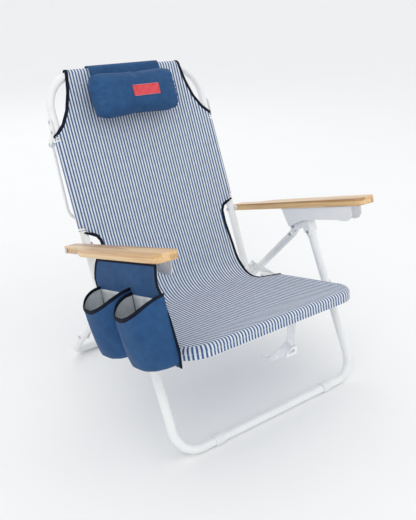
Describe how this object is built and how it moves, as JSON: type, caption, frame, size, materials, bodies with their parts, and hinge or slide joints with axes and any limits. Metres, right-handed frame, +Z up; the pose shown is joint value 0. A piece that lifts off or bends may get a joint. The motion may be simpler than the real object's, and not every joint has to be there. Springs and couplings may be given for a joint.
{
  "type": "beach chair",
  "caption": "Folding low beach chair with a striped sling, wooden arms on notched housings, a pillow, a towel bar and a drinks bag on one arm.",
  "frame": {"origin": "on the floor under the middle of the object's outline seen from above", "axes": "+Z up, -Y towards the front edge of the seat, +X to the right seen from the front"},
  "size_m": [0.7162, 0.772, 0.7953],
  "materials": {
    "frame_powder": "semi_gloss",
    "sling_stripe": "matte",
    "blue_fabric": "matte",
    "red_label": "matte",
    "white_plastic": "matte",
    "grey_plastic": "matte",
    "plate_metal": "satin",
    "fasteners": "satin",
    "arm_wood": "satin",
    "webbing": "matte"
  },
  "bodies": {
    "seat": {"seat_frame": "frame_powder", "seat_sling": "sling_stripe", "hinge_tabs": "plate_metal", "tab_rivets": "fasteners", "leg_pivot_rivets": "fasteners", "leg_spacers": "grey_plastic", "carry_strap": "webbing", "strap_buckle": "white_plastic"},
    "hinge_axle": {"hinge_bolts": "fasteners", "hinge_nuts": "fasteners", "hinge_spacers": "grey_plastic"},
    "back": {"back_frame": "frame_powder", "back_end_plugs": "white_plastic", "back_sling": "sling_stripe", "pillow": "blue_fabric", "pillow_flap": "blue_fabric", "pillow_label": "red_label", "towel_brackets": "white_plastic", "bracket_rivets": "fasteners", "towel_bar_pins": "fasteners"},
    "towel_rail": {"towel_bar": "frame_powder"},
    "arm_axle": {"arm_bolts": "fasteners", "arm_nuts": "fasteners", "arm_spacers": "grey_plastic"},
    "arm_left": {"arm_board_left": "arm_wood", "arm_housing_left": "white_plastic", "arm_screws_left": "fasteners", "bag_panel": "blue_fabric", "bag_studs": "fasteners", "cup_pocket_front": "blue_fabric", "cup_pocket_rear": "blue_fabric"},
    "arm_right": {"arm_board_right": "arm_wood", "arm_housing_right": "white_plastic", "arm_screws_right": "fasteners"},
    "front_legs": {"front_leg_frame": "frame_powder", "knuckle_left": "white_plastic", "knuckle_right": "white_plastic", "knuckle_rivets": "fasteners", "knuckle_pivots": "fasteners", "lock_pins": "fasteners", "front_glides": "grey_plastic"},
    "rear_legs": {"rear_leg_frame": "frame_powder", "rear_leg_ends": "white_plastic", "rear_end_rivets": "fasteners", "rear_glides": "grey_plastic", "link_rivets": "fasteners"},
    "rear_links": {"link_plates": "plate_metal"}
  },
  "joints": [
    {"name": "fold", "type": "hinge", "parent": "seat", "child": "hinge_axle", "pos_m": [0.03515, 0.09475, 0.193], "axis": [1, 0, 0], "range_deg": [0, 88]},
    {"name": "recline", "type": "hinge", "parent": "hinge_axle", "child": "back", "pos_m": [0.03515, 0.09475, 0.193], "axis": [1, 0, 0], "range_deg": [-55, 0]},
    {"name": "front_leg_fold", "type": "hinge", "parent": "seat", "child": "front_legs", "pos_m": [0.03515, -0.20139, 0.24377], "axis": [1, 0, 0], "range_deg": [0, 84]},
    {"name": "rear_leg_fold", "type": "hinge", "parent": "front_legs", "child": "rear_legs", "pos_m": [0.03515, -0.07425, 0.37169], "axis": [1, 0, 0], "range_deg": [-64.56, 0]},
    {"name": "link_fold", "type": "hinge", "parent": "seat", "child": "rear_links", "pos_m": [0.03515, 0.09475, 0.193], "axis": [1, 0, 0], "range_deg": [-130.23, 0]},
    {"name": "arm_axle_fold", "type": "hinge", "parent": "back", "child": "arm_axle", "pos_m": [0.03515, 0.17272, 0.36021], "axis": [1, 0, 0], "range_deg": [-101.6, 0]},
    {"name": "arm_left_recline", "type": "hinge", "parent": "arm_axle", "child": "arm_left", "pos_m": [0.03515, 0.17272, 0.36021], "axis": [1, 0, 0], "range_deg": [0, 41.91]},
    {"name": "arm_right_recline", "type": "hinge", "parent": "arm_axle", "child": "arm_right", "pos_m": [0.03515, 0.17272, 0.36021], "axis": [1, 0, 0], "range_deg": [0, 41.91]},
    {"name": "towel_bar_flip", "type": "hinge", "parent": "back", "child": "towel_rail", "pos_m": [0.03515, 0.32782, 0.60291], "axis": [1, 0, 0], "range_deg": [0, 110]}
  ],
  "couplings": [
    {"joint": "front_leg_fold", "follows": "fold", "ratio": 0.95454},
    {"joint": "rear_leg_fold", "follows": "fold", "ratio": -0.73364},
    {"joint": "link_fold", "follows": "fold", "ratio": -1.4799},
    {"joint": "arm_axle_fold", "follows": "fold", "ratio": -1.1545},
    {"joint": "arm_left_recline", "follows": "recline", "ratio": -0.762},
    {"joint": "arm_right_recline", "follows": "recline", "ratio": -0.762}
  ]
}
